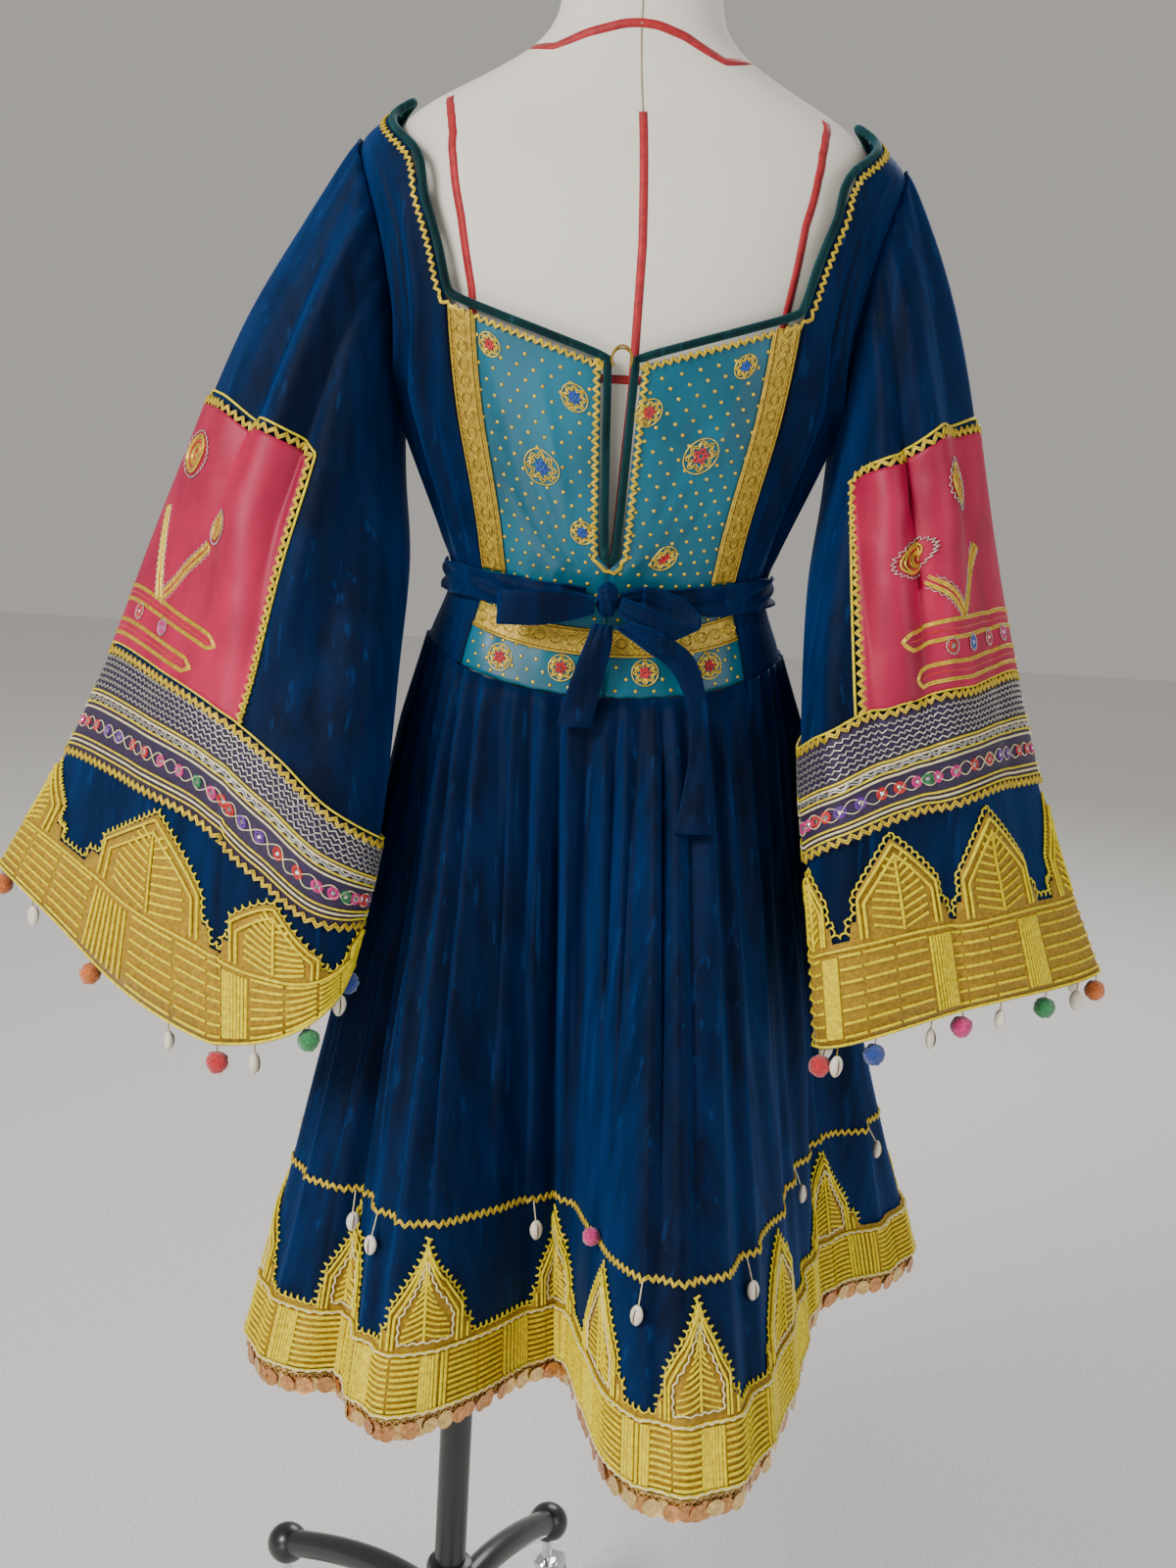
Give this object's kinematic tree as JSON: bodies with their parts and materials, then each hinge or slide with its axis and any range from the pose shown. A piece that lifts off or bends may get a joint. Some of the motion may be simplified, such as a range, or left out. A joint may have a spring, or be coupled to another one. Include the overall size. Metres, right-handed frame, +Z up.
{
  "type": "kuchi dress on a dress form stand",
  "caption": "Velvet kuchi dress with satin back, bell sleeves and appliqued borders, worn by a limbless dress form on a rolling base",
  "frame": {"origin": "middle of the bounding box's foot, on the floor under the stand", "axes": "+Z up; the dress's back faces -Y and its front +Y; +X is the wearer's right-hand side"},
  "size_m": [0.8868, 0.5698, 1.525],
  "materials": {
    "velvet": "deep blue silk velvet with a bright nap",
    "satin": "teal satin with woven gold dots and medallions",
    "pink_satin": "hot pink satin with gold cord work",
    "gold_ribbon": "gold jacquard ribbon and lace",
    "couched_cord": "thick yellow couched cord",
    "braid": "silver braid and mirror bands",
    "binding": "dark green velvet binding",
    "drops": "wool pompoms and cowrie shells",
    "shell": "polished cowrie shell",
    "coin": "thin stamped coins",
    "linen": "ivory slubby linen",
    "tape": "narrow red satin tape",
    "black_metal": "satin black paint",
    "chrome": "polished",
    "rubber": "matt"
  },
  "bodies": {
    "stand_and_dress": {"back_panel_left": "satin", "back_panel_right": "satin", "base_arm_1": "black_metal", "base_arm_2": "black_metal", "base_arm_3": "black_metal", "base_arm_4": "black_metal", "base_arm_5": "black_metal", "base_hub": "black_metal", "bow_knot": "velvet", "bow_loop_left": "velvet", "bow_loop_right": "velvet", "bow_tail_left": "velvet", "bow_tail_right": "velvet", "cuff_applique_left": "couched_cord", "cuff_applique_right": "couched_cord", "cuff_drops_left": "drops", "cuff_drops_right": "drops", "form_torso": "linen", "front_bodice": "velvet", "gold_ribbon_left": "gold_ribbon", "gold_ribbon_right": "gold_ribbon", "gold_ribbon_waist": "gold_ribbon", "hem_trim": "gold_ribbon", "neck_binding": "binding", "pole": "black_metal", "side_back_left": "velvet", "side_back_right": "velvet", "skirt_applique": "couched_cord", "skirt_back_left": "velvet", "skirt_back_right": "velvet", "skirt_front_left": "velvet", "skirt_front_right": "velvet", "sleeve_band_left": "braid", "sleeve_band_right": "braid", "sleeve_left": "velvet", "sleeve_panel_left": "pink_satin", "sleeve_panel_right": "pink_satin", "sleeve_right": "velvet", "tie_left": "velvet", "tie_right": "velvet"},
    "caster_1": {"caster_fork_1": "chrome"},
    "wheel_1": {"caster_wheel_1": "rubber"},
    "caster_2": {"caster_fork_2": "chrome"},
    "wheel_2": {"caster_wheel_2": "rubber"},
    "caster_3": {"caster_fork_3": "chrome"},
    "wheel_3": {"caster_wheel_3": "rubber"},
    "caster_4": {"caster_fork_4": "chrome"},
    "wheel_4": {"caster_wheel_4": "rubber"},
    "caster_5": {"caster_fork_5": "chrome"},
    "wheel_5": {"caster_wheel_5": "rubber"}
  },
  "joints": [
    {"name": "caster_1_swivel", "type": "hinge", "parent": "stand_and_dress", "child": "caster_1", "pos_m": [0.02665, 0.22527, 0.06], "axis": [0, 0, 1], "continuous": true},
    {"name": "wheel_1_spin", "type": "hinge", "parent": "caster_1", "child": "wheel_1", "pos_m": [0.03212, 0.23816, 0.024], "axis": [-0.9205, 0.3907, 0], "continuous": true},
    {"name": "caster_2_swivel", "type": "hinge", "parent": "stand_and_dress", "child": "caster_2", "pos_m": [-0.21962, 0.16841, 0.06], "axis": [0, 0, 1], "continuous": true},
    {"name": "wheel_2_spin", "type": "hinge", "parent": "caster_2", "child": "wheel_2", "pos_m": [-0.23019, 0.1776, 0.024], "axis": [-0.6561, -0.7547, 0], "continuous": true},
    {"name": "caster_3_swivel", "type": "hinge", "parent": "stand_and_dress", "child": "caster_3", "pos_m": [-0.24165, -0.08337, 0.06], "axis": [0, 0, 1], "continuous": true},
    {"name": "wheel_3_spin", "type": "hinge", "parent": "caster_3", "child": "wheel_3", "pos_m": [-0.25365, -0.09058, 0.024], "axis": [0.515, -0.8572, 0], "continuous": true},
    {"name": "caster_4_swivel", "type": "hinge", "parent": "stand_and_dress", "child": "caster_4", "pos_m": [-0.00899, -0.18213, 0.06], "axis": [0, 0, 1], "continuous": true},
    {"name": "wheel_4_spin", "type": "hinge", "parent": "caster_4", "child": "wheel_4", "pos_m": [-0.00584, -0.19577, 0.024], "axis": [0.9744, 0.225, 0], "continuous": true},
    {"name": "caster_5_swivel", "type": "hinge", "parent": "stand_and_dress", "child": "caster_5", "pos_m": [0.15682, 0.00862, 0.06], "axis": [0, 0, 1], "continuous": true},
    {"name": "wheel_5_spin", "type": "hinge", "parent": "caster_5", "child": "wheel_5", "pos_m": [0.17077, 0.0074, 0.024], "axis": [0.0872, 0.9962, 0], "continuous": true}
  ]
}
